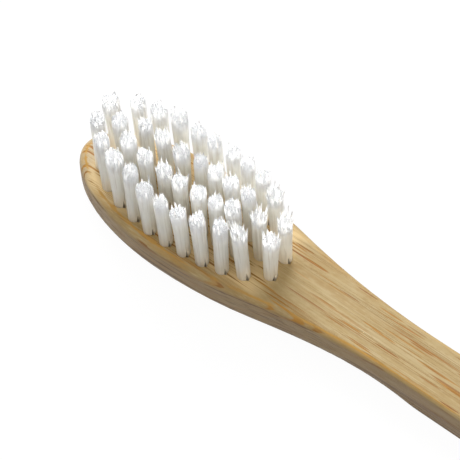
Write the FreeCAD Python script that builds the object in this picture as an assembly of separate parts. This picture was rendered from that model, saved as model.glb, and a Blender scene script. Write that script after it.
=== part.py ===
import FreeCAD, Part
import math
import os

from FreeCAD import Vector

# Manual toothbrush with a flat bamboo handle. Every bristle tuft is a bundle of nylon filaments
# folded over a small metal plate, and the plate is driven into a blind hole in the head.
# All sizes are in millimetres. +X runs from the head's tip to the butt, +Y across the brush and
# +Z up, out of the bristle face. The brush lies on its back, and the origin is the middle of that.

# Handle, along X from the head's tip
total_length = 190.0
nose_length = 15.8            # tip to the widest place of the head
shoulder_length = 32.6        # widest place of the head to the neck
neck_length = 2.0             # parallel stretch of the neck
flare_length = 60.0           # neck to the widest place of the grip
butt_length = 8.0             # rounded end of the grip
shoulder_turn = 0.38          # share of the shoulder's run that its outward arc takes

# Handle, across and up
head_width = 13.5
neck_width = 6.8
grip_width = 12.0
butt_width = 10.5
thickness = 5.1
head_rounding = 1.25          # radius of the head's edges, top and bottom
neck_rounding = 0.6           # radius of the edges from the neck on; the shoulders lead over to it
fullest_rounding = 0.48       # share of the thickness that one rounding may take

# Layout of the tufts on the head
column_count = 11
first_column = 3.75           # head's tip to the first column
end_rows = 2                  # tufts in the first and the last column
most_rows = 4                 # tufts in the middle columns
field_side_margin = 1.8       # outermost hole centres to the side of the head
field_end_margin = 0.5        # end columns to the ends of the oval that the tufts fill

# Holes, bristles and anchor plates
hole_diameter = 1.65
hole_wall = 0.81              # wood between neighbouring holes along the head
back_wall = 1.1               # wood between the drill point and the brush's back
drill_point_angle = 118.0     # degrees
bristle_height = 10.4         # height of the tips above the face at the first column, without the wave
trim_fall = 1.0               # the tips come down by this much from the first column to the last
trim_wave = 0.6               # the tips rise and fall by this much along the head
trim_wave_length = 17.2
trim_crest = 6.45             # head's tip to the first crest of the trimmed tips
tip_gap = 0.5                 # air between the tips of the two closest tufts
fold_height = 0.45            # filaments that pass under the plate
anchor_height = 1.5
anchor_thickness = 0.26
anchor_bite = 0.13            # how far a plate reaches into the wood beyond the hole, each side
anchor_turn = -18.0           # degrees from the long axis, so that the slits don't follow the grain
parting_height = 0.9          # the two legs of a folded tuft close up this far above the face
tuft_clearance = 0.02         # bundle to the hole's wall and to the plate

head_tip = -total_length / 2.0
column_pitch = hole_diameter + hole_wall
field_length = column_pitch * (column_count - 1)
hole_radius = hole_diameter / 2.0
drill_point = hole_radius / math.tan(math.radians(drill_point_angle / 2.0))
hole_floor = back_wall + drill_point
hole_depth = thickness - hole_floor
anchor_bottom = hole_floor + fold_height
anchor_length = hole_diameter + 2.0 * anchor_bite


def arc_between(start, centre, radius, start_angle, end_angle):
    """Circular arc from start, given by its centre and its two angles."""
    middle_angle = (start_angle + end_angle) / 2.0
    middle = centre + Vector(radius * math.cos(middle_angle), radius * math.sin(middle_angle), 0)
    end = centre + Vector(radius * math.cos(end_angle), radius * math.sin(end_angle), 0)
    return Part.Arc(start, middle, end).toShape(), end


def narrowing(start, run, drop, convex_share):
    """Two tangent arcs that take the outline in by drop over run, level at both ends."""
    turn = 2.0 * math.atan2(drop, run)
    radius_sum = run / math.sin(turn)
    convex = radius_sum * convex_share
    concave = radius_sum - convex
    level = math.pi / 2.0
    end = start + Vector(run, -drop, 0)
    first, bend = arc_between(start, start - Vector(0, convex, 0), convex, level, level - turn)
    second, _ = arc_between(bend, end + Vector(0, concave, 0), concave, -level - turn, -level)
    return [first, second], end


def widening(start, run, rise):
    """Two equal tangent arcs that take the outline out by rise over run, level at both ends."""
    turn = 2.0 * math.atan2(rise, run)
    radius = run / math.sin(turn) / 2.0
    level = math.pi / 2.0
    end = start + Vector(run, rise, 0)
    first, bend = arc_between(start, start + Vector(0, radius, 0), radius, -level, turn - level)
    second, _ = arc_between(bend, end - Vector(0, radius, 0), radius, level + turn, level)
    return [first, second], end


def half_ellipse(centre_x, along, across, start_angle):
    """Half of an ellipse about the middle line, from start_angle on for half a turn."""
    oval = Part.Ellipse(Vector(centre_x, 0, 0), along, across)
    return Part.ArcOfEllipse(oval, start_angle, start_angle + math.pi).toShape()


def far_side():
    """Edges of the outline on the +Y side, from the widest place of the head to the butt."""
    head_side = Vector(head_tip + nose_length, head_width / 2.0, 0)
    shoulder, neck_start = narrowing(
        head_side, shoulder_length, (head_width - neck_width) / 2.0, shoulder_turn)
    neck_end = neck_start + Vector(neck_length, 0, 0)
    neck = Part.LineSegment(neck_start, neck_end).toShape()
    flare, grip_side = widening(neck_end, flare_length, (grip_width - neck_width) / 2.0)
    taper_run = -head_tip - butt_length - grip_side.x
    taper, _ = narrowing(grip_side, taper_run, (grip_width - butt_width) / 2.0, 0.5)
    return shoulder + [neck] + flare + taper


def rounding_at(x):
    """Radius of the long edges at one place: full on the head, small from the neck on."""
    past_head = (x - head_tip - nose_length) / shoulder_length
    share = min(max(past_head, 0.0), 1.0)
    radius = head_rounding + (neck_rounding - head_rounding) * share
    return min(radius, fullest_rounding * thickness)


def handle_blank():
    """The bamboo slat cut to its outline, with its long edges rounded."""
    side = far_side()
    near = [edge.mirror(Vector(0, 0, 0), Vector(0, 1, 0)) for edge in side]
    nose = half_ellipse(head_tip + nose_length, nose_length, head_width / 2.0, math.pi / 2.0)
    butt = half_ellipse(-head_tip - butt_length, butt_length, butt_width / 2.0, -math.pi / 2.0)
    outline = Part.Wire(Part.__sortEdges__(side + [butt] + near + [nose]))
    document = FreeCAD.newDocument("handle")
    slat = document.addObject("Part::Feature", "slat")
    slat.Shape = Part.Face(outline).extrude(Vector(0, 0, thickness))
    radii = []
    for number, edge in enumerate(slat.Shape.Edges, 1):
        start = edge.firstVertex(True).Point
        end = edge.lastVertex(True).Point
        if abs(start.z - end.z) < thickness / 2.0:
            radii.append((number, rounding_at(start.x), rounding_at(end.x)))
    blank = document.addObject("Part::Fillet", "blank")
    blank.Base = slat
    blank.Edges = radii
    document.recompute()
    return blank.Shape.Solids[0]


def rows_in_column(column):
    """Tufts in one column: the ends of the field have the fewest."""
    from_end = min(column, column_count - 1 - column)
    return min(most_rows, end_rows + from_end)


def tuft_places():
    """Name and hole centre of every tuft: columns from the tip, rows from the -Y side."""
    half_span = field_length / 2.0
    half_field = half_span + field_end_margin
    widest = head_width / 2.0 - field_side_margin
    places = []
    for column in range(column_count):
        along = column * column_pitch - half_span
        reach = widest * math.sqrt(1.0 - (along / half_field) ** 2)
        rows = rows_in_column(column)
        for row in range(rows):
            across = reach * (2.0 * row / (rows - 1) - 1.0) if rows > 1 else 0.0
            name = "bristle_tuft_%02d%s" % (column + 1, "abcdefgh"[row])
            centre = Vector(head_tip + first_column + column * column_pitch, across, 0)
            places.append((name, centre))
    return places


def tip_diameter(places):
    """Width of a tuft at its tips: the two closest tufts almost touch there."""
    centres = [place for _, place in places]
    pairs = [(a, b) for index, a in enumerate(centres) for b in centres[:index]]
    return min(a.distanceToPoint(b) for a, b in pairs) - tip_gap


def trim_angle(place):
    """Where a tuft stands on the wave of the trimmed tips, as an angle."""
    return 2.0 * math.pi * (place.x - head_tip - trim_crest) / trim_wave_length


def turned(shape, place):
    """Turn a plate or its slit about the middle of its hole."""
    shape.rotate(place, Vector(0, 0, 1), anchor_turn)
    return shape


def anchor_plate(place):
    """Metal plate that stands upright in the hole and holds down the folded filaments."""
    corner = place + Vector(-anchor_length / 2.0, -anchor_thickness / 2.0, anchor_bottom)
    return turned(Part.makeBox(anchor_length, anchor_thickness, anchor_height, corner), place)


def tuft_hole(place):
    """Blind drilled hole, with the slit that the plate cuts on its way down."""
    floor = place + Vector(0, 0, hole_floor)
    bore = Part.makeCylinder(hole_radius, hole_depth, floor)
    point = Part.makeCone(0, hole_radius, drill_point, floor - Vector(0, 0, drill_point))
    slit_corner = place + Vector(-anchor_length / 2.0, -anchor_thickness / 2.0, anchor_bottom)
    slit = Part.makeBox(anchor_length, anchor_thickness, thickness - anchor_bottom, slit_corner)
    return bore.fuse([point, turned(slit, place)])


def bristle_tuft(place, tip_width):
    """Bundle of filaments: a root round the plate, and a spreading shaft trimmed at its tips."""
    root_radius = hole_radius - tuft_clearance
    spread = (tip_width / 2.0 - root_radius) / bristle_height
    shaft_height = bristle_height + trim_wave + tip_width
    face = place + Vector(0, 0, thickness)
    root = Part.makeCylinder(root_radius, hole_depth, place + Vector(0, 0, hole_floor))
    shaft = Part.makeCone(root_radius, root_radius + spread * shaft_height, shaft_height, face)

    half_slot = anchor_thickness / 2.0 + tuft_clearance
    slot_bottom = anchor_bottom - tuft_clearance
    slot_top = anchor_bottom + anchor_height + tuft_clearance
    slot_outline = Part.makePolygon([place + Vector(-hole_diameter, y, z) for y, z in (
        (-half_slot, slot_bottom),
        (half_slot, slot_bottom),
        (half_slot, slot_top),
        (0.0, thickness + parting_height),
        (-half_slot, slot_top),
        (-half_slot, slot_bottom))])
    slot = turned(Part.Face(slot_outline).extrude(Vector(2.0 * hole_diameter, 0, 0)), place)

    angle = trim_angle(place)
    fall = trim_fall / field_length
    height = bristle_height + trim_wave * math.cos(angle)
    height -= fall * (place.x - head_tip - first_column)
    slope = -trim_wave * math.sin(angle) * 2.0 * math.pi / trim_wave_length - fall
    cutter_size = 2.0 * shaft_height
    cutter = Part.makeBox(
        cutter_size, cutter_size, cutter_size, Vector(-cutter_size / 2.0, -cutter_size / 2.0, 0))
    cutter.rotate(Vector(0, 0, 0), Vector(0, 1, 0), -math.degrees(math.atan(slope)))
    cutter.translate(face + Vector(0, 0, height))
    return root.fuse(shaft).removeSplitter().cut([slot, cutter])


def write_node(name, shape):
    """Write one named node, and stop if a solid in it isn't sound."""
    for solid in shape.Solids:
        if not solid.isValid() or solid.Volume <= 0:
            raise ValueError("unsound solid in " + name)
    shape.exportStep("parts/" + name + ".step")
    print(name, len(shape.Solids), round(shape.Volume, 3))


def main():
    os.makedirs("parts", exist_ok=True)
    places = tuft_places()
    holes = [tuft_hole(place) for _, place in places]
    write_node("bamboo_handle", handle_blank().cut(holes))
    tip_width = tip_diameter(places)
    for name, place in places:
        write_node(name, bristle_tuft(place, tip_width))
    write_node("tuft_anchors", Part.makeCompound([anchor_plate(place) for _, place in places]))


main()
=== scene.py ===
import math
from collections import namedtuple
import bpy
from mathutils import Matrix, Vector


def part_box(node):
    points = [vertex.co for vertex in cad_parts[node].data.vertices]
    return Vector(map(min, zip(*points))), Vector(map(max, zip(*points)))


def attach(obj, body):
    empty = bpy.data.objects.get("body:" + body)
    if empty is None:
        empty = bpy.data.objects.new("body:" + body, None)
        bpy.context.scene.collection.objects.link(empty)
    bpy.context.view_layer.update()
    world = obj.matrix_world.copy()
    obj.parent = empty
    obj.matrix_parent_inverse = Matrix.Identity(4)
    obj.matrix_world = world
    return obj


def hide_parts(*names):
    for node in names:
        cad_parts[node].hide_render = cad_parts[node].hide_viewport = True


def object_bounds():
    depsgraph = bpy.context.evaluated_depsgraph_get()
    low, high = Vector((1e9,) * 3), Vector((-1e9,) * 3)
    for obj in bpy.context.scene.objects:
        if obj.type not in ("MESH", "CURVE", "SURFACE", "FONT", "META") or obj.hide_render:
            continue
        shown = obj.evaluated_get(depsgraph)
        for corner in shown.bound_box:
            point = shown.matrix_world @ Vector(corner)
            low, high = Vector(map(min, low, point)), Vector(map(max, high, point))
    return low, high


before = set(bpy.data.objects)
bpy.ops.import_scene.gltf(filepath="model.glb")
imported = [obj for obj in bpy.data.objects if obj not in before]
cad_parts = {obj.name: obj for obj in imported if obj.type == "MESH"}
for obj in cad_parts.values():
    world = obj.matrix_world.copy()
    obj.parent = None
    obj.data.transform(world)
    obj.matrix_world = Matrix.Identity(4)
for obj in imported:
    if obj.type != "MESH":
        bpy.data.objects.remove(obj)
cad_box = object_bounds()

from types import SimpleNamespace

import bpy
import numpy as np
from mathutils import Matrix, Vector

# Manual toothbrush with a bamboo handle, lying on its back with the bristles up. All lengths are in
# metres, in the frame of the solids: +X from the head's tip to the butt, +Y across, +Z up.

MM = 0.001
FULL_TURN = 2.0 * math.pi

head_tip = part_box("bamboo_handle")[0].x
face_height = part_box("bamboo_handle")[1].z
cad_top = cad_box[1][2]

# Bristles: the bundle, as it stands in its hole
BUNDLE_RINGS = 4                    # rings of filaments round the middle one of a bundle
# Rings of points up the shaft: the lowest ones by their height from the face, the others by their
# share of the whole height
FOOT_HEIGHTS = (-1.0 * MM, 0.0, 0.35 * MM, 0.8 * MM, 1.3 * MM)
SHAFT_SHARES = (0.30, 0.46, 0.60, 0.74, 1.0)
SHAFT_STEPS = len(FOOT_HEIGHTS) + len(SHAFT_SHARES) - 1
MERGE_GAP = 0.05                    # points of the honeycomb this near are one, in filament widths
SMOOTH_ANGLE = math.radians(65.0)   # edges sharper than this stay sharp
ROOT_REACH = 0.80 * MM              # outside of the bundle in its hole
TIP_REACH = 0.93 * MM               # outside of the bundle at its tips
REACH_CURVE = 1.2                   # above one, the bundle widens more towards its tips
RIM_SHARE = 0.9                     # points beyond this share of the bundle's radius are its outside
FLUTE_SHARE = 0.60                  # how much of the honeycomb's own edge shows as flutes on the shaft
PARTING_HEIGHT = 1.6 * MM           # the two legs of the folded bundle close up this far above the face
PARTING_WIDTH = 0.20 * MM           # half of the gap between the legs, at the face
PARTING_DEPTH = 0.60                # share of the way to the middle that the gap goes in
PARTING_TURN = math.radians(-18.0)  # the gap follows the plate, which is turned from the long axis
CLOSED_GAP = 1e-9                   # stands for the gap where the legs have closed up
WANDER = 0.02                       # a filament wanders round the bundle by about this angle
WANDER_SHIFT = 6.0                  # the filaments wander each at its own heights, within this angle
LEAN = 0.15 * MM                    # a whole tuft leans by about this much at its tips
LEAN_CURVE = 1.6                    # above one, it leans more towards its tips
BOW = 0.05 * MM                     # a whole tuft bows sideways by about this much
SPREAD = 0.06                       # tufts spread more or less at their tips, by about this share
SPREAD_LIMIT = 2.0                  # and by no more than this many times the share
BRISTLE_SEED = 38

# Bristles: the trimmed end
BRISTLE_HEIGHT = 10.4 * MM          # from the face to the tips of the first column, without the wave
TRIM_FALL = 1.0 / 24.6              # the tips come down by this much per length towards the handle
FIRST_COLUMN = 3.75 * MM            # head's tip to the first column
TRIM_WAVE = 0.6 * MM                # the tips rise and fall by this much along the head
TRIM_WAVE_LENGTH = 17.2 * MM
TRIM_CREST = 6.45 * MM              # head's tip to the first crest of the trimmed tips
TRIM_DROP = 0.45 * MM               # the trimmed end lies this much under the solid's end
TRIM_SLANT = 0.10                   # it slants by about this much per length
TRIM_SCATTER = 0.30 * MM            # uneven trimming of single filaments
TOP_MARGIN = 0.01 * MM              # nothing comes nearer to the top of the solids' box
END_DOME = 0.15 * MM                # the rim of a trimmed end lies this much lower than its middle
FREE_TIP = 0.55 * MM                # length over which the filaments stand apart at the tips
TIP_TAPER = 0.26                    # share of a filament's width that its tip draws in, each side
DOME_INSET = 0.12                   # the same for the dome on the tip
DOME_HEIGHT = 0.03 * MM
LOCK_COUNT = 19                     # the filaments of a tuft cling together in this many locks
LOCK_LIMITS = (-1.8, 1.2)           # lowest and highest lock, to the scatter of the locks
LOCK_LIFT = 1.0 / 3.0               # share of a lock's point by which its middle is lifted
LOCK_FALL = 1.1                     # a lock falls off from its middle as far as this many lock widths
OUTER_SHARE = 0.70                  # filaments beyond this share of the bundle's radius are outer ones
STRAY = 0.10                        # a filament that stands out leans by about this much
LONG_CUT = 0.1                      # it shows this little of its dull cut end, with that end's painted shade
RING_CUT = 0.5                      # and the shaft just under the tips shows this much of the cut ends

Trim = namedtuple("Trim", (
    "drop",                         # the bundle ends lower by this much
    "lock_scatter",                 # the locks end at heights that differ by about this much
    "lock_point",                   # the middle of a lock stands out above its rim by this much
    "inner_share",                  # share of the inner filaments that stand out of the trimmed end
    "outer_share",                  # and of the outer ones
    "long_reach",                   # by between these two lengths
    "lean",                         # the outer ones of these lean out by this much
    "fine"))                        # width of the tips, to that of plain ones
EVEN_TRIM = Trim(0.0, 0.32 * MM, 0.55 * MM, 0.08, 0.35, (0.35 * MM, 1.30 * MM), 0.0, 1.0)
SPLAYED_TRIM = Trim(0.5 * MM, 0.30 * MM, 0.70 * MM, 0.22, 0.55, (0.4 * MM, 1.7 * MM), 0.22, 0.75)
SPLAYED_COLUMNS = (10, 11)          # the columns next to the neck have spread out more

# Wood: colours
STRAW_PALE = (0.581, 0.447, 0.227)
STRAW = (0.514, 0.368, 0.158)
STRAW_TAN = (0.433, 0.277, 0.099)
STREAK_OCHRE = (0.540, 0.265, 0.045)
STREAK_BROWN = (0.310, 0.125, 0.026)
# Fibre tones: partly the grain's own, partly painted shade in the fibres' grooves and painted highlight
# on their raised ridges
FIBRE_DARK_AND_SHADE = (0.301, 0.174, 0.067)
FIBRE_CREAM_AND_HIGHLIGHT = (0.760, 0.620, 0.374)
EDGE_GOLD = (0.601, 0.334, 0.073)
# painted shade on the rounding under the bottom edge
UNDER_PAINTED_SHADE = (0.149, 0.063, 0.022)
# painted shade: the side walls are painted greyer and darker
SIDE_PAINTED_SHADE = (0.397, 0.276, 0.161)
SIDE_DARK = (0.196, 0.115, 0.060)
HEAD_TIP_PAINTED_LIGHT = (0.72, 0.60, 0.40)      # painted light: the wood is painted paler towards the tip of the head, which the lamp lights more
FIELD_PAINTED_GLOW = (0.97, 0.72, 0.36)    # painted light: a honey-coloured glow on the wood between the tufts, where light comes through them

# Wood: patterns, each with its cells per millimetre along X, Y and Z, its detail and its roughness
BANDS = ((0.012, 0.42, 0.42), 3.0, 0.55)
CLOUDS = ((0.16, 0.75, 0.75), 3.0, 0.6)
SPECKS = ((0.9, 3.4, 3.4), 2.0, 0.6)
FIBRES = ((0.055, 5.2, 5.2), 2.0, 0.55)
THREADS = ((0.065, 7.5, 7.5), 1.0, 0.5)
LINE_BREAKS = ((0.07, 1.1, 0.3), 2.0, 0.5, (7.0, 2.0, 0.0))     # and how far it is shifted
FACE_LINES = ((0.0045, 1.25, 0.05), 2.0, 0.5, (1.3, 0.0, 0.0))
WALL_LINES = ((0.0045, 0.05, 1.6), 2.0, 0.5, (1.3, 0.0, 0.0))
EDGE_STRETCHES = ((0.09, 0.5, 0.5), 3.0, 0.65)
BARK = ((0.03, 1.6, 3.2), 3.0, 0.6)
POLISH = ((0.3, 3.0, 3.0), 3.0, 0.6)
STREAKS = (                         # cells per millimetre along and across, half width in cells, shift
    (0.034, 1.25, 0.125, (0.0, 0.0, 0.0)),
    (0.060, 1.60, 0.125, (3.7, 5.1, 0.0)),
    (0.024, 0.95, 0.085, (1.9, 8.3, 0.0)),
    (0.080, 2.10, 0.140, (6.1, 2.7, 0.0)),
)
STREAK_CORE = 0.6                   # a streak is full within this share of its width
LINE_LEVELS = (0.38, 0.46, 0.54, 0.62)      # the long lines follow the pattern at these levels
UNROLL = math.pi / 4.0              # turns Y + Z into one coordinate that runs on round the edges

# Wood: the values at which a tint begins and is full, and its least and greatest share if not 0 and 1
FACE_TURN = (0.6, 0.9)              # upright part of the normal
WALL_TURN = (0.6, 0.3)
SIDE_TURN = (0.55, 0.20)
ROUNDING_BEGINS, ROUNDING_ENDS = (0.45, 0.75), (0.99, 0.93)
CREASE_BEGINS, CREASE_ENDS = (0.84, 0.90), (0.985, 0.955)
UNDER_BEGINS, UNDER_ENDS = (0.15, 0.45), (0.97, 0.85)       # downward part of the normal
NOT_ENDWISE = (0.8, 0.5)            # lengthwise part of the normal: the ends have no marks
NEAR_SIDE = (0.1, -0.1, 0.2, 1.0)   # the golden edge is stronger on the -Y side
BAND_TINT = (0.36, 0.64)
CLOUD_TINT = (0.42, 0.72, 0.0, 0.75)
SPECK_TAN = (0.48, 0.30, 0.0, 0.50)
SPECK_PALE = (0.52, 0.72, 0.0, 0.50)
FIBRE_LOW = (0.42, 0.28, 0.0, 0.20)
FIBRE_HIGH = (0.57, 0.74, 0.0, 0.20)
THREAD_LOW = (0.36, 0.27, 0.0, 0.32)
THREAD_HIGH = (0.62, 0.72, 0.0, 0.38)
LINE_WIDTH = (0.009, 0.002)
LINE_SHOWS = (0.38, 0.54)
STREAK_STRENGTH = (0.0, 0.8, 0.45, 1.0)
WORN_TINT = (0.44, 0.62, 0.0, 0.45)
CREASE_TINT = (0.36, 0.50, 0.0, 0.95)
BARK_TINT = (0.50, 0.38, 0.0, 0.85)
# shares of the painted shade on the sides and under the bottom edge
SIDE_SHADE_SHARE = 0.62
UNDER_SHADE_SHARE = 0.5
# painted light towards the head's tip: how far it reaches, and its share
HEAD_TIP_LIGHT_REACH = (10.0 * MM, 2.0 * MM)     # from the head's tip
HEAD_TIP_LIGHT_SHARE = 0.55
# where the painted glow between the tufts lies, and its share
FIELD_START = (2.0 * MM, 4.5 * MM)  # from the head's tip
FIELD_END = (30.0 * MM, 27.0 * MM)
FIELD_SIDE = (5.6 * MM, 4.2 * MM)   # from the middle line
FIELD_SHARE = 0.85
WOOD_ROUGHNESS = (0.3, 0.7, 0.46, 0.62)
WOOD_IOR = 1.45
WOOD_RELIEF = (1.0, 0.06 * MM)      # strength, and height of one unit
FIBRE_RELIEF = 0.50                 # height of the fibres in that unit
THREAD_RELIEF = 0.25                # and of the threads
STREAK_GROOVE = 0.35                # depth of the streaks

# Nylon
# painted warm shade towards the roots of the tufts
NYLON_ROOT_SHADE = (0.86, 0.78, 0.62)
NYLON_MIDDLE = (0.99, 0.98, 0.905)
NYLON_TIP = (0.985, 0.985, 0.98)
NYLON_STREAK = (0.67, 0.61, 0.51)   # duller filaments and drawn streaks
NYLON_END_SHADE = (0.58, 0.585, 0.59)     # the cut ends are painted duller and darker than the sides: painted shade against the light they catch on top
NYLON_GAP_SHADE = (0.16, 0.12, 0.09)      # painted shade in the parting between the legs of a bundle
MIDDLE_TINT = (-0.08, 0.50)         # share of the height
TIP_TINT = (0.55, 1.0)
STRAND_TINT = (0.0, 1.0, 0.0, 0.16)
DRAWN = ((4.2, 4.2, 0.10), 2.0, 0.55)       # pattern, as for the wood
DRAWN_TINT = (0.50, 0.32, 0.0, 0.50)
GAP_SHADE_TINT = (0.15, 0.75)
NYLON_ROUGHNESS = (0.3, 0.7, 0.28, 0.46)
END_ROUGHNESS = (0.0, 0.6, 0.0, 0.9)
NYLON_RELIEF = (0.7, 0.10 * MM)
NYLON_IOR = 1.53
LIGHT_DEPTH = 5.0 * MM              # how far light wanders in a bundle
LIGHT_COLOURS = (1.0, 0.97, 0.90)   # share of it for red, green and blue
LIGHT_SHARE = (0.0, 1.0, 1.0, 0.55)     # less of that light comes out at the cut ends

# Brass
BRASS = (0.62, 0.44, 0.17)
BRASS_DULL = (0.36, 0.25, 0.11)
WIRE_LINES = ((0.8, 26.0, 26.0), 2.0, 0.5)      # patterns, as for the wood
DULL_PATCHES = ((1.6, 1.6, 1.6), 3.0, 0.6)
PATCH_TINT = (0.4, 0.7)
BRASS_ROUGHNESS = (0.3, 0.7, 0.25, 0.5)
BRASS_RELIEF = (0.3, 0.01 * MM)

# View and light
CAMERA_TARGET = Vector((-73.955 * MM, 0.493 * MM, 5.1 * MM))
CAMERA_AZIMUTH = 42.046             # degrees, from -Y towards +X
CAMERA_ELEVATION = 60.026
CAMERA_ROLL = -4.775
CAMERA_DISTANCE = 365.69 * MM
CAMERA_LENS = 250.468               # millimetres, on this sensor
CAMERA_SENSOR = 36.0
CAMERA_NEAR = 10.0 * MM             # nothing nearer to the camera is drawn
KEY_AZIMUTH = 222.0                 # the key lamp hangs behind the brush
KEY_ELEVATION = 37.0
KEY_DISTANCE = 0.45
KEY_SIZE = 0.40
KEY_POWER = 1.75                    # watts
ROOM_LIGHT = 0.61                   # soft light from all round
WHITE = (1.0, 1.0, 1.0, 1.0)
FLOOR_SIZE = 3.0
FLOOR_GAP = 0.05 * MM               # keeps the floor clear of the brush's back
FLOOR_GLOW = 0.95                   # the white that the camera sees
FLOOR_SHADE = 0.08                  # and the grey on top of it, which the brush's shadow takes away
FLOOR_BOUNCE = 0.22                 # grey of the floor, for the light that it throws back at the brush


# Small helpers for nodes

def place_node(tree, kind, **settings):
    """Add a node and set its own properties."""
    node = tree.nodes.new(kind)
    for name, value in settings.items():
        setattr(node, name, value)
    return node


def fresh_material(name):
    """A material with an empty node tree, its output and a Principled shader."""
    material = bpy.data.materials.new(name)
    material.use_nodes = True
    tree = material.node_tree
    tree.nodes.clear()
    output = place_node(tree, "ShaderNodeOutputMaterial")
    shader = place_node(tree, "ShaderNodeBsdfPrincipled")
    tree.links.new(shader.outputs["BSDF"], output.inputs["Surface"])
    return material, tree, shader


def split(tree, vector):
    """The three coordinates of a vector."""
    parts = place_node(tree, "ShaderNodeSeparateXYZ")
    tree.links.new(vector, parts.inputs["Vector"])
    return parts.outputs


def turned(tree, spot, turn):
    """Coordinates turned about X."""
    mapping = place_node(tree, "ShaderNodeMapping")
    mapping.inputs["Rotation"].default_value = (turn, 0.0, 0.0)
    tree.links.new(spot, mapping.inputs["Vector"])
    return mapping.outputs["Vector"]


def stretched(tree, spot, cells, shift=(0.0, 0.0, 0.0)):
    """Coordinates that count this many cells per millimetre along each axis."""
    mapping = place_node(tree, "ShaderNodeMapping")
    mapping.inputs["Scale"].default_value = [count / MM for count in cells]
    mapping.inputs["Location"].default_value = shift
    tree.links.new(spot, mapping.inputs["Vector"])
    return mapping.outputs["Vector"]


def pattern(tree, spot, cells, detail, roughness, *shift):
    """Noise at this many cells per millimetre along each axis."""
    noise = place_node(tree, "ShaderNodeTexNoise", noise_dimensions="3D")
    noise.inputs["Scale"].default_value = 1.0
    noise.inputs["Detail"].default_value = detail
    noise.inputs["Roughness"].default_value = roughness
    tree.links.new(stretched(tree, spot, cells, *shift), noise.inputs["Vector"])
    return noise.outputs["Fac"]


def level(tree, value, low, high, to_low=0.0, to_high=1.0):
    """Map low..high to to_low..to_high with soft ends."""
    remap = place_node(tree, "ShaderNodeMapRange", interpolation_type="SMOOTHSTEP")
    names = ("From Min", "From Max", "To Min", "To Max")
    for name, number in zip(names, (low, high, to_low, to_high)):
        remap.inputs[name].default_value = number
    tree.links.new(value, remap.inputs["Value"])
    return remap.outputs["Result"]


def maths(tree, operation, *values):
    """One sum of the values; each may be a plain number."""
    sums = place_node(tree, "ShaderNodeMath", operation=operation)
    for socket, value in zip(sums.inputs, values):
        if isinstance(value, (int, float)):
            socket.default_value = value
        else:
            tree.links.new(value, socket)
    return sums.outputs["Value"]


def product(tree, first, *others):
    """All the values multiplied."""
    for other in others:
        first = maths(tree, "MULTIPLY", first, other)
    return first


def tint(tree, share, under_shade, over):
    """Lay the colour over on the colour under, by share."""
    mix = place_node(tree, "ShaderNodeMix", data_type="RGBA", blend_type="MIX", clamp_factor=True)
    factor, first, second = mix.inputs[0], mix.inputs[6], mix.inputs[7]
    tree.links.new(share, factor)
    for socket, colour in ((first, under_shade), (second, over)):
        if isinstance(colour, tuple):
            socket.default_value = (*colour, 1.0)
        else:
            tree.links.new(colour, socket)
    return mix.outputs[2]


def raise_relief(tree, shader, height, strength, unit):
    """Fine relief on a surface, too small to be modelled."""
    bump = place_node(tree, "ShaderNodeBump")
    bump.inputs["Strength"].default_value = strength
    bump.inputs["Distance"].default_value = unit
    tree.links.new(height, bump.inputs["Height"])
    tree.links.new(bump.outputs["Normal"], shader.inputs["Normal"])


# Bamboo

def straw_ground(tree, spot):
    """Straw-coloured wood with bands, clouds and specks, painted light paler at the head's tip, a
    painted honey-coloured glow between the tufts.
    """
    bands = pattern(tree, spot, *BANDS)
    clouds = pattern(tree, spot, *CLOUDS)
    specks = pattern(tree, spot, *SPECKS)
    colour = tint(tree, level(tree, bands, *BAND_TINT), STRAW_TAN, STRAW)
    colour = tint(tree, level(tree, clouds, *CLOUD_TINT), colour, STRAW_PALE)
    colour = tint(tree, level(tree, specks, *SPECK_TAN), colour, STRAW_TAN)
    colour = tint(tree, level(tree, specks, *SPECK_PALE), colour, STRAW_PALE)

    place = split(tree, spot)
    lit_reach, start, end = ([head_tip + reach for reach in reaches]
                        for reaches in (HEAD_TIP_LIGHT_REACH, FIELD_START, FIELD_END))
    # painted light: paler towards the head's tip
    colour = tint(tree, level(tree, place["X"], *lit_reach, 0.0, HEAD_TIP_LIGHT_SHARE), colour, HEAD_TIP_PAINTED_LIGHT)
    off_middle = maths(tree, "ABSOLUTE", place["Y"])
    # painted light: a honey-coloured glow between the tufts
    glow_through_tufts = product(tree, level(tree, place["X"], *start), level(tree, place["X"], *end),
                    level(tree, off_middle, *FIELD_SIDE, 0.0, FIELD_SHARE))
    return tint(tree, glow_through_tufts, colour, FIELD_PAINTED_GLOW)


def streak_marks(tree, spot, upright, endwise):
    """Long broken lines and short bundle streaks: where they show, and how dark they are."""
    not_endwise = level(tree, endwise, *NOT_ENDWISE)
    faces = level(tree, upright, *FACE_TURN)
    walls = product(tree, level(tree, upright, *WALL_TURN), not_endwise)
    breaks = pattern(tree, spot, *LINE_BREAKS)
    shows = level(tree, breaks, *LINE_SHOWS)
    marks = []
    for lines, area in ((FACE_LINES, faces), (WALL_LINES, walls)):
        grain = pattern(tree, spot, *lines)
        for height in LINE_LEVELS:
            off = maths(tree, "ABSOLUTE", maths(tree, "SUBTRACT", grain, height))
            marks.append((product(tree, level(tree, off, *LINE_WIDTH), shows, area), breaks))
    unrolled = turned(tree, spot, UNROLL)
    for along, across, width, shift in STREAKS:
        cells = place_node(tree, "ShaderNodeTexVoronoi", voronoi_dimensions="2D", feature="F1")
        cells.inputs["Scale"].default_value = 1.0
        cell_spot = stretched(tree, unrolled, (along, across, across), shift)
        tree.links.new(cell_spot, cells.inputs["Vector"])
        chances = place_node(tree, "ShaderNodeSeparateColor")
        tree.links.new(cells.outputs["Color"], chances.inputs["Color"])
        mark = level(tree, cells.outputs["Distance"], width, width * STREAK_CORE)
        strength = level(tree, chances.outputs["Red"], *STREAK_STRENGTH)
        marks.append((product(tree, mark, not_endwise, strength), chances.outputs["Green"]))
    return marks


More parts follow.
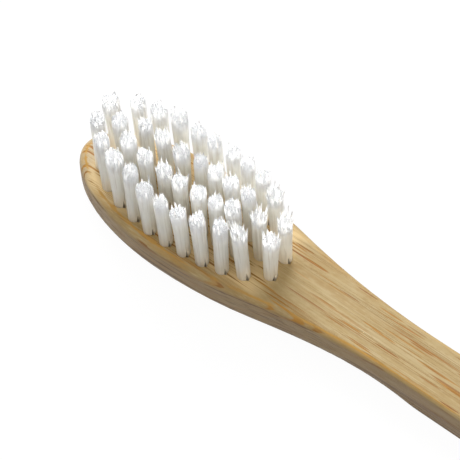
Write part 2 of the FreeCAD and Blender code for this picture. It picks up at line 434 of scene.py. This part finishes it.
def edge_colours(tree, spot, facing, upright, colour):
    """Golden rounding and crease, painted shade on the sides with dark bark lines, painted shade on the
    brown bottom edge.
    """
    stretches = pattern(tree, spot, *EDGE_STRETCHES)
    near_side = level(tree, facing["Y"], *NEAR_SIDE)
    for begins, ends, shows in ((ROUNDING_BEGINS, ROUNDING_ENDS, WORN_TINT),
                                (CREASE_BEGINS, CREASE_ENDS, CREASE_TINT)):
        gold = product(tree, level(tree, upright, *begins), level(tree, upright, *ends),
                       level(tree, stretches, *shows), near_side)
        colour = tint(tree, gold, colour, EDGE_GOLD)
    side = level(tree, upright, *SIDE_TURN)
    bark = level(tree, pattern(tree, spot, *BARK), *BARK_TINT)
    # painted shade on the sides
    colour = tint(tree, product(tree, side, SIDE_SHADE_SHARE), colour, SIDE_PAINTED_SHADE)
    colour = tint(tree, product(tree, side, bark), colour, SIDE_DARK)
    # painted shade under the bottom edge
    downward = product(tree, facing["Z"], -1.0)
    under_shade = product(tree, level(tree, downward, *UNDER_BEGINS), level(tree, downward, *UNDER_ENDS))
    return tint(tree, product(tree, under_shade, UNDER_SHADE_SHARE), colour, UNDER_PAINTED_SHADE)


def bamboo_finish():
    """Sanded bamboo: straw ground, fine fibres with painted highlight and shade, golden-brown bundle
    streaks, golden edges.
    """
    material, tree, shader = fresh_material("sanded_bamboo")
    where = place_node(tree, "ShaderNodeTexCoord")
    spot = where.outputs["Object"]
    facing = split(tree, where.outputs["Normal"])
    upright = maths(tree, "ABSOLUTE", facing["Z"])
    endwise = maths(tree, "ABSOLUTE", facing["X"])

    colour = straw_ground(tree, spot)
    fibres = pattern(tree, spot, *FIBRES)
    threads = pattern(tree, spot, *THREADS)
    # fibre tones: grain, with painted shade in the grooves and painted highlight on the raised fibres
    colour = tint(tree, level(tree, fibres, *FIBRE_LOW), colour, STRAW_TAN)
    colour = tint(tree, level(tree, fibres, *FIBRE_HIGH), colour, FIBRE_CREAM_AND_HIGHLIGHT)
    colour = tint(tree, level(tree, threads, *THREAD_LOW), colour, FIBRE_DARK_AND_SHADE)
    colour = tint(tree, level(tree, threads, *THREAD_HIGH), colour, FIBRE_CREAM_AND_HIGHLIGHT)
    marks = streak_marks(tree, spot, upright, endwise)
    for mark, darkness in marks:
        colour = tint(tree, mark, colour, tint(tree, darkness, STREAK_OCHRE, STREAK_BROWN))
    colour = edge_colours(tree, spot, facing, upright, colour)
    tree.links.new(colour, shader.inputs["Base Color"])

    polish = pattern(tree, spot, *POLISH)
    tree.links.new(level(tree, polish, *WOOD_ROUGHNESS), shader.inputs["Roughness"])
    shader.inputs["IOR"].default_value = WOOD_IOR
    height = maths(tree, "ADD", product(tree, fibres, FIBRE_RELIEF),
                   product(tree, threads, THREAD_RELIEF))
    for mark, _ in marks:
        height = maths(tree, "SUBTRACT", height, product(tree, mark, STREAK_GROOVE))
    raise_relief(tree, shader, height, *WOOD_RELIEF)
    return material


# Nylon and brass

def nylon_finish():
    """Translucent white nylon: painted warm shade towards the roots, painted shade at the cut ends and
    in the parting, no two filaments quite alike.
    """
    material, tree, shader = fresh_material("white_nylon")
    along, strand, parting, cut = (
        place_node(tree, "ShaderNodeAttribute", attribute_name=name).outputs["Fac"]
        for name in ("along", "strand", "parting", "cut"))
    drawn = pattern(tree, place_node(tree, "ShaderNodeTexCoord").outputs["Object"], *DRAWN)
    # painted warm shade towards the roots
    colour = tint(tree, level(tree, along, *MIDDLE_TINT), NYLON_ROOT_SHADE, NYLON_MIDDLE)
    colour = tint(tree, level(tree, along, *TIP_TINT), colour, NYLON_TIP)
    colour = tint(tree, level(tree, strand, *STRAND_TINT), colour, NYLON_STREAK)
    colour = tint(tree, level(tree, drawn, *DRAWN_TINT), colour, NYLON_STREAK)
    # painted shade at the cut ends
    colour = tint(tree, cut, colour, NYLON_END_SHADE)
    # painted shade in the parting between the legs
    colour = tint(tree, level(tree, parting, *GAP_SHADE_TINT), colour, NYLON_GAP_SHADE)
    tree.links.new(colour, shader.inputs["Base Color"])
    satin = level(tree, drawn, *NYLON_ROUGHNESS)
    rough_end = level(tree, cut, *END_ROUGHNESS)
    tree.links.new(maths(tree, "MAXIMUM", satin, rough_end), shader.inputs["Roughness"])
    raise_relief(tree, shader, drawn, *NYLON_RELIEF)
    shader.inputs["IOR"].default_value = NYLON_IOR
    tree.links.new(level(tree, cut, *LIGHT_SHARE), shader.inputs["Subsurface Weight"])
    shader.inputs["Subsurface Radius"].default_value = LIGHT_COLOURS
    shader.inputs["Subsurface Scale"].default_value = LIGHT_DEPTH
    shader.subsurface_method = "BURLEY"
    return material


def anchor_finish():
    """Bare drawn brass wire: fine lines along the plate, dull patches."""
    material, tree, shader = fresh_material("drawn_brass")
    spot = place_node(tree, "ShaderNodeTexCoord").outputs["Object"]
    lines = pattern(tree, spot, *WIRE_LINES)
    patches = pattern(tree, spot, *DULL_PATCHES)
    colour = tint(tree, level(tree, patches, *PATCH_TINT), BRASS, BRASS_DULL)
    tree.links.new(colour, shader.inputs["Base Color"])
    tree.links.new(level(tree, lines, *BRASS_ROUGHNESS), shader.inputs["Roughness"])
    shader.inputs["Metallic"].default_value = 1.0
    raise_relief(tree, shader, lines, *BRASS_RELIEF)
    return material


def dress_node(node, material):
    """Give a carried-over solid its finish."""
    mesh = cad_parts[node].data
    mesh.materials.clear()
    mesh.materials.append(material)


# Bristle tufts

ROW_SKEW = math.sqrt(3.0) / 2.0         # distance of the rows in a honeycomb of width one
CELL_SIDES = 6
HALF_CELL = 0.5
CELL_CORNER = HALF_CELL / ROW_SKEW      # distance of a cell's corners from its middle
ALONG_ROW = Vector((1.0, 0.0, 0.0))     # steps from one cell to the next
ACROSS_ROWS = Vector((HALF_CELL, ROW_SKEW, 0.0))
SIXTH_TURN = FULL_TURN / CELL_SIDES
GOLDEN_ANGLE = math.radians(137.508)    # spreads the locks evenly over the end of a tuft


def cell_distance(x, y):
    """Steps from the middle cell of the honeycomb to the cell at x, y."""
    row = y / ROW_SKEW
    column = x - row / 2.0
    return (abs(column) + abs(row) + abs(column + row)) / 2.0


def bundle_blank():
    """A tuft, modelled once: a honeycomb drawn up to a shaft, with a tip on every filament."""
    bpy.ops.object.select_all(action="DESELECT")
    bpy.ops.mesh.primitive_circle_add(vertices=CELL_SIDES, radius=CELL_CORNER, fill_type="NGON")
    bundle = bpy.context.object
    for step in (ALONG_ROW, ACROSS_ROWS):
        row = bundle.modifiers.new("row", "ARRAY")
        row.count = 2 * BUNDLE_RINGS + 1
        row.use_relative_offset = False
        row.use_constant_offset = True
        row.constant_offset_displace = step
        bpy.ops.object.modifier_apply(modifier=row.name)
    bundle.location = (ALONG_ROW + ACROSS_ROWS) * -BUNDLE_RINGS
    bpy.ops.object.transform_apply(location=True, rotation=False, scale=False)
    bpy.ops.object.mode_set(mode="EDIT")
    bpy.ops.mesh.select_mode(type="FACE")
    bpy.ops.mesh.select_all(action="SELECT")
    bpy.ops.mesh.remove_doubles(threshold=MERGE_GAP)
    bpy.ops.mesh.select_all(action="DESELECT")
    bpy.ops.object.mode_set(mode="OBJECT")
    for face in bundle.data.polygons:
        face.select = cell_distance(face.center.x, face.center.y) > BUNDLE_RINGS + HALF_CELL
    bpy.ops.object.mode_set(mode="EDIT")
    bpy.ops.mesh.delete(type="FACE")
    bpy.ops.mesh.select_all(action="SELECT")
    for _ in range(SHAFT_STEPS):
        bpy.ops.mesh.extrude_region_move(TRANSFORM_OT_translate={"value": (0.0, 0.0, 1.0)})
    bpy.ops.mesh.inset(thickness=TIP_TAPER, depth=1.0, use_individual=True)
    bpy.ops.mesh.inset(thickness=DOME_INSET, depth=1.0, use_individual=True)
    bpy.ops.mesh.select_all(action="SELECT")
    bpy.ops.mesh.normals_make_consistent(inside=False)
    bpy.ops.mesh.select_all(action="DESELECT")
    bpy.ops.object.mode_set(mode="OBJECT")
    bpy.ops.object.shade_smooth_by_angle(angle=SMOOTH_ANGLE)
    return bundle


def mesh_points(mesh):
    """The points of a mesh, one to a row."""
    points = np.empty(len(mesh.vertices) * 3)
    mesh.vertices.foreach_get("co", points)
    return points.reshape(-1, 3)


def on_circle(radius, angle):
    """Places at these distances and angles from the middle of a tuft."""
    return np.stack([radius * np.cos(angle), radius * np.sin(angle)], 1)


def smooth(value):
    """Nought to one, with soft ends."""
    value = np.clip(value, 0.0, 1.0)
    return value * value * (3.0 - 2.0 * value)


def trim_height(x):
    """Height of the trimmed tips above the face, at one place along the head."""
    wave = FULL_TURN * (x - head_tip - TRIM_CREST) / TRIM_WAVE_LENGTH
    fall = TRIM_FALL * (x - head_tip - FIRST_COLUMN)
    return BRISTLE_HEIGHT + TRIM_WAVE * np.cos(wave) - fall


def filament_numbers(points):
    """Number of each blank point's filament, and how many numbers there are."""
    row = points[:, 1] / ROW_SKEW
    column = points[:, 0] - row / 2.0
    third = -row - column
    near = [np.rint(value) for value in (column, row, third)]
    slip = [abs(value - whole) for value, whole in zip((column, row, third), near)]
    column_off = (slip[0] > slip[1]) & (slip[0] > slip[2])
    row_off = ~column_off & (slip[1] > slip[2])
    column = np.where(column_off, -near[1] - near[2], near[0])
    row = np.where(row_off, -near[0] - near[2], near[1])
    margin = BUNDLE_RINGS + 1
    across = 2 * margin + 1
    return ((column + margin) * across + row + margin).astype(int), across * across


def tuft_habit(chance, count, trim):
    """All that chance decides about one tuft and its filaments. The order of the draws matters."""
    habit = SimpleNamespace()
    habit.lean = chance.normal(0.0, LEAN, 2)
    habit.bow = chance.normal(0.0, BOW, 2)
    habit.slant = chance.normal(0.0, TRIM_SLANT, 2)
    most = SPREAD_LIMIT * SPREAD
    habit.tip_reach = TIP_REACH * (1.0 + np.clip(chance.normal(0.0, SPREAD), -most, most))
    habit.turn = chance.uniform(0.0, FULL_TURN)
    habit.scatter = chance.uniform(0.0, 1.0, count)
    habit.stray = chance.normal(0.0, STRAY, (count, 2))
    habit.tone = chance.uniform(0.0, 1.0, count)
    habit.wander = chance.normal(0.0, WANDER, count)
    lock_chance = np.clip(chance.normal(0.0, 1.0, LOCK_COUNT), *LOCK_LIMITS)
    habit.lock_heights = trim.lock_scatter * lock_chance + trim.lock_point * LOCK_LIFT
    habit.lock_turn = chance.uniform(0.0, FULL_TURN)
    habit.luck = chance.uniform(0.0, 1.0, count)
    habit.long_ends = chance.uniform(*trim.long_reach, count)
    return habit


def round_bundle(blank, rise, tip, filament, habit):
    """Places of the points across the tuft: the six-sided blank made round, wider at its tips."""
    angle = np.arctan2(blank[:, 1], blank[:, 0])
    flat_side = np.cos(np.mod(angle, SIXTH_TURN) - SIXTH_TURN / 2.0)
    outside = BUNDLE_RINGS * math.cos(SIXTH_TURN / 2.0) / flat_side + HALF_CELL
    share = np.hypot(blank[:, 0], blank[:, 1]) / outside
    fluted = (share > RIM_SHARE) & ~tip
    share = np.where(fluted, 1.0 + FLUTE_SHARE * (share - 1.0), share)
    phase = FULL_TURN * rise + WANDER_SHIFT * habit.tone[filament]
    angle = angle + habit.turn + habit.wander[filament] * np.sin(phase)
    radius = share * (ROOT_REACH + (habit.tip_reach - ROOT_REACH) * rise ** REACH_CURVE)
    return on_circle(radius, angle)


def filament_ends(across, tip, filament, count):
    """Middle of each filament's tip."""
    total = np.zeros((count, 2))
    np.add.at(total, filament[tip], across[tip])
    points = np.bincount(filament[tip], minlength=count)[:, None]
    return total / np.maximum(points, 1)


def lock_rise(spot, trim, habit):
    """How far the locks lift the trimmed end at each spot: most in the middle of a lock."""
    number = np.arange(LOCK_COUNT) + 0.5
    radius = habit.tip_reach * np.sqrt(number / LOCK_COUNT)
    locks = on_circle(radius, habit.lock_turn + GOLDEN_ANGLE * number)
    apart = np.linalg.norm(spot[:, None] - locks[None], axis=2)
    apart = apart * math.sqrt(LOCK_COUNT) / habit.tip_reach
    return (habit.lock_heights - trim.lock_point * np.minimum(apart, LOCK_FALL) ** 2).max(1)


def part_legs(across, height):
    """Draw the points between the two legs in, and say which they are."""
    gap = PARTING_WIDTH * np.clip(1.0 - height / PARTING_HEIGHT, 0.0, 1.0)
    plate = np.array((math.cos(PARTING_TURN), math.sin(PARTING_TURN)))
    beside = across @ np.array((-plate[1], plate[0]))
    inside = smooth(1.0 - np.abs(beside) / np.maximum(gap, CLOSED_GAP))
    return across - np.outer(PARTING_DEPTH * inside * (across @ plate), plate), inside


def shape_tuft(mesh, node, chance):
    """Round the honeycomb to a bundle, part its legs at the root, spread it and trim its tips."""
    blank = mesh_points(mesh)
    step = np.rint(blank[:, 2]).astype(int)
    tip = step > SHAFT_STEPS
    filament, count = filament_numbers(blank)
    low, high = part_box(node)
    middle = np.array(((low.x + high.x) / 2.0, (low.y + high.y) / 2.0))
    column = int(node[-3:-1])           # two digits before the row's letter
    trim = SPLAYED_TRIM if column in SPLAYED_COLUMNS else EVEN_TRIM
    habit = tuft_habit(chance, count, trim)

    tips = trim_height(middle[0]) - TRIM_DROP
    rings = np.concatenate([FOOT_HEIGHTS, np.array(SHAFT_SHARES) * tips])
    height = rings[np.minimum(step, SHAFT_STEPS)]
    across = round_bundle(blank, np.clip(height / tips, 0.0, 1.0), tip, filament, habit)

    ends = filament_ends(across, tip, filament, count)
    outer = np.linalg.norm(ends, axis=1) > OUTER_SHARE * habit.tip_reach
    stands_out = habit.luck < np.where(outer, trim.outer_share, trim.inner_share)
    reach = tip * np.where(stands_out, habit.long_ends, TRIM_SCATTER * habit.scatter)[filament]
    spot = np.where(tip[:, None], ends[filament], across)
    across = np.where(tip[:, None], spot + trim.fine * (across - spot), across)
    sideways = habit.stray + trim.lean / habit.tip_reach * ends
    across += reach[:, None] * sideways[filament]

    dome = END_DOME * (np.linalg.norm(spot, axis=1) / habit.tip_reach) ** 2
    length = trim_height(middle[0] + across[:, 0]) - TRIM_DROP - trim.drop + across @ habit.slant
    length = length + lock_rise(spot, trim, habit) + reach - dome
    length = np.minimum(length, cad_top - face_height - TOP_MARGIN)
    below = FREE_TIP * (step == SHAFT_STEPS) + DOME_HEIGHT * (step == SHAFT_STEPS + 1)
    height = np.where(step >= SHAFT_STEPS, length - below, height)

    across, parting = part_legs(across, height)
    along = np.clip(height / tips, 0.0, 1.0)
    bend = along[:, None]
    line = middle + habit.lean * bend ** LEAN_CURVE + habit.bow * np.sin(np.pi * bend)
    placed = np.column_stack([line + across, face_height + height])
    mesh.vertices.foreach_set("co", placed.ravel())
    end_shows = np.where(stands_out, LONG_CUT, 1.0)[filament]
    cut = np.where(tip, end_shows, RING_CUT * (step == SHAFT_STEPS))
    notes = {"along": along, "strand": habit.tone[filament], "parting": parting, "cut": cut}
    for name, values in notes.items():
        layer = mesh.attributes.new(name, "FLOAT", "POINT")
        layer.data.foreach_set("value", np.ascontiguousarray(values))
    mesh.update()


def tuft_of_filaments(blank, node, material, chance):
    """One tuft: a copy of the blank, shaped for its place on the head."""
    tuft = blank.copy()
    tuft.data = blank.data.copy()
    tuft.name = tuft.data.name = node.replace("bristle_tuft", "filaments")
    bpy.context.scene.collection.objects.link(tuft)
    shape_tuft(tuft.data, node, chance)
    tuft.data.materials.clear()
    tuft.data.materials.append(material)
    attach(tuft, "root")
    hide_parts(node)


# Floor, light and camera

def direction(azimuth, elevation):
    """Unit vector towards a place seen at this azimuth and elevation, from -Y towards +X."""
    turn, lift = math.radians(azimuth), math.radians(elevation)
    return Vector((math.sin(turn) * math.cos(lift), -math.cos(turn) * math.cos(lift), math.sin(lift)))


def grey_shader(tree, grey):
    """Plain matt grey."""
    shader = place_node(tree, "ShaderNodeBsdfDiffuse")
    shader.inputs["Color"].default_value = (grey, grey, grey, 1.0)
    return shader.outputs["BSDF"]


def choose(tree, seen, unseen_shader, seen_shader, output):
    """One shader where the camera sees it, another for the light that it gives."""
    choice = place_node(tree, "ShaderNodeMixShader")
    tree.links.new(seen, choice.inputs["Fac"])
    tree.links.new(unseen_shader, choice.inputs[1])
    tree.links.new(seen_shader, choice.inputs[2])
    tree.links.new(choice.outputs["Shader"], output.inputs["Surface"])


def lay_floor():
    """Plain pale floor: white to the camera but for the brush's faint shadow."""
    bpy.ops.object.select_all(action="DESELECT")
    bpy.ops.mesh.primitive_plane_add(size=FLOOR_SIZE, location=(0.0, 0.0, -FLOOR_GAP))
    floor = bpy.context.object
    floor.name = "floor"
    material = bpy.data.materials.new("pale_floor")
    material.use_nodes = True
    tree = material.node_tree
    tree.nodes.clear()
    output = place_node(tree, "ShaderNodeOutputMaterial")
    rays = place_node(tree, "ShaderNodeLightPath").outputs
    seen = maths(tree, "MAXIMUM", rays["Is Camera Ray"], rays["Is Glossy Ray"])
    seen = maths(tree, "MAXIMUM", seen, rays["Is Transmission Ray"])
    glow = place_node(tree, "ShaderNodeEmission")
    glow.inputs["Strength"].default_value = FLOOR_GLOW
    white = place_node(tree, "ShaderNodeAddShader")
    tree.links.new(glow.outputs["Emission"], white.inputs[0])
    tree.links.new(grey_shader(tree, FLOOR_SHADE), white.inputs[1])
    choose(tree, seen, grey_shader(tree, FLOOR_BOUNCE), white.outputs["Shader"], output)
    floor.data.materials.append(material)


def light_room():
    """Soft light from all round, white where the camera sees it, and one soft key lamp behind."""
    world = bpy.data.worlds.new("studio")
    world.use_nodes = True
    tree = world.node_tree
    tree.nodes.clear()
    output = place_node(tree, "ShaderNodeOutputWorld")
    rays = place_node(tree, "ShaderNodeLightPath").outputs
    seen = maths(tree, "MAXIMUM", rays["Is Camera Ray"], rays["Is Glossy Ray"])
    room, white = (place_node(tree, "ShaderNodeBackground") for _ in range(2))
    for node, strength in ((room, ROOM_LIGHT), (white, 1.0)):
        node.inputs["Color"].default_value = WHITE
        node.inputs["Strength"].default_value = strength
    choose(tree, seen, room.outputs["Background"], white.outputs["Background"], output)
    bpy.context.scene.world = world

    towards = direction(KEY_AZIMUTH, KEY_ELEVATION)
    bpy.ops.object.select_all(action="DESELECT")
    bpy.ops.object.light_add(type="AREA", location=CAMERA_TARGET + towards * KEY_DISTANCE)
    lamp = bpy.context.object
    lamp.name = "key_lamp"
    lamp.rotation_euler = towards.to_track_quat("Z", "Y").to_euler()
    lamp.data.shape = "DISK"
    lamp.data.size = KEY_SIZE
    lamp.data.energy = KEY_POWER


def set_camera():
    """Camera at the picture's angle: aimed at the head, rolled a little."""
    back = direction(CAMERA_AZIMUTH, CAMERA_ELEVATION)
    turn = math.radians(CAMERA_AZIMUTH)
    level_right = Vector((math.cos(turn), math.sin(turn), 0.0))
    level_up = back.cross(level_right)
    roll = math.radians(CAMERA_ROLL)
    right = level_right * math.cos(roll) + level_up * math.sin(roll)
    up = level_up * math.cos(roll) - level_right * math.sin(roll)
    bpy.ops.object.camera_add()
    camera = bpy.context.object
    camera.name = "camera"
    pose = Matrix((right, up, back)).transposed().to_4x4()
    pose.translation = CAMERA_TARGET + back * CAMERA_DISTANCE
    camera.matrix_world = pose
    camera.data.sensor_width = CAMERA_SENSOR
    camera.data.sensor_fit = "HORIZONTAL"
    camera.data.lens = CAMERA_LENS
    camera.data.clip_start = CAMERA_NEAR
    bpy.context.scene.camera = camera


dress_node("bamboo_handle", bamboo_finish())
dress_node("tuft_anchors", anchor_finish())
nylon = nylon_finish()
blank = bundle_blank()
chance = np.random.default_rng(BRISTLE_SEED)
for node in sorted(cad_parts):
    if node.startswith("bristle_tuft"):
        tuft_of_filaments(blank, node, nylon, chance)
bpy.data.objects.remove(blank)

lay_floor()
light_room()
set_camera()
bpy.context.scene.view_settings.view_transform = "Standard"
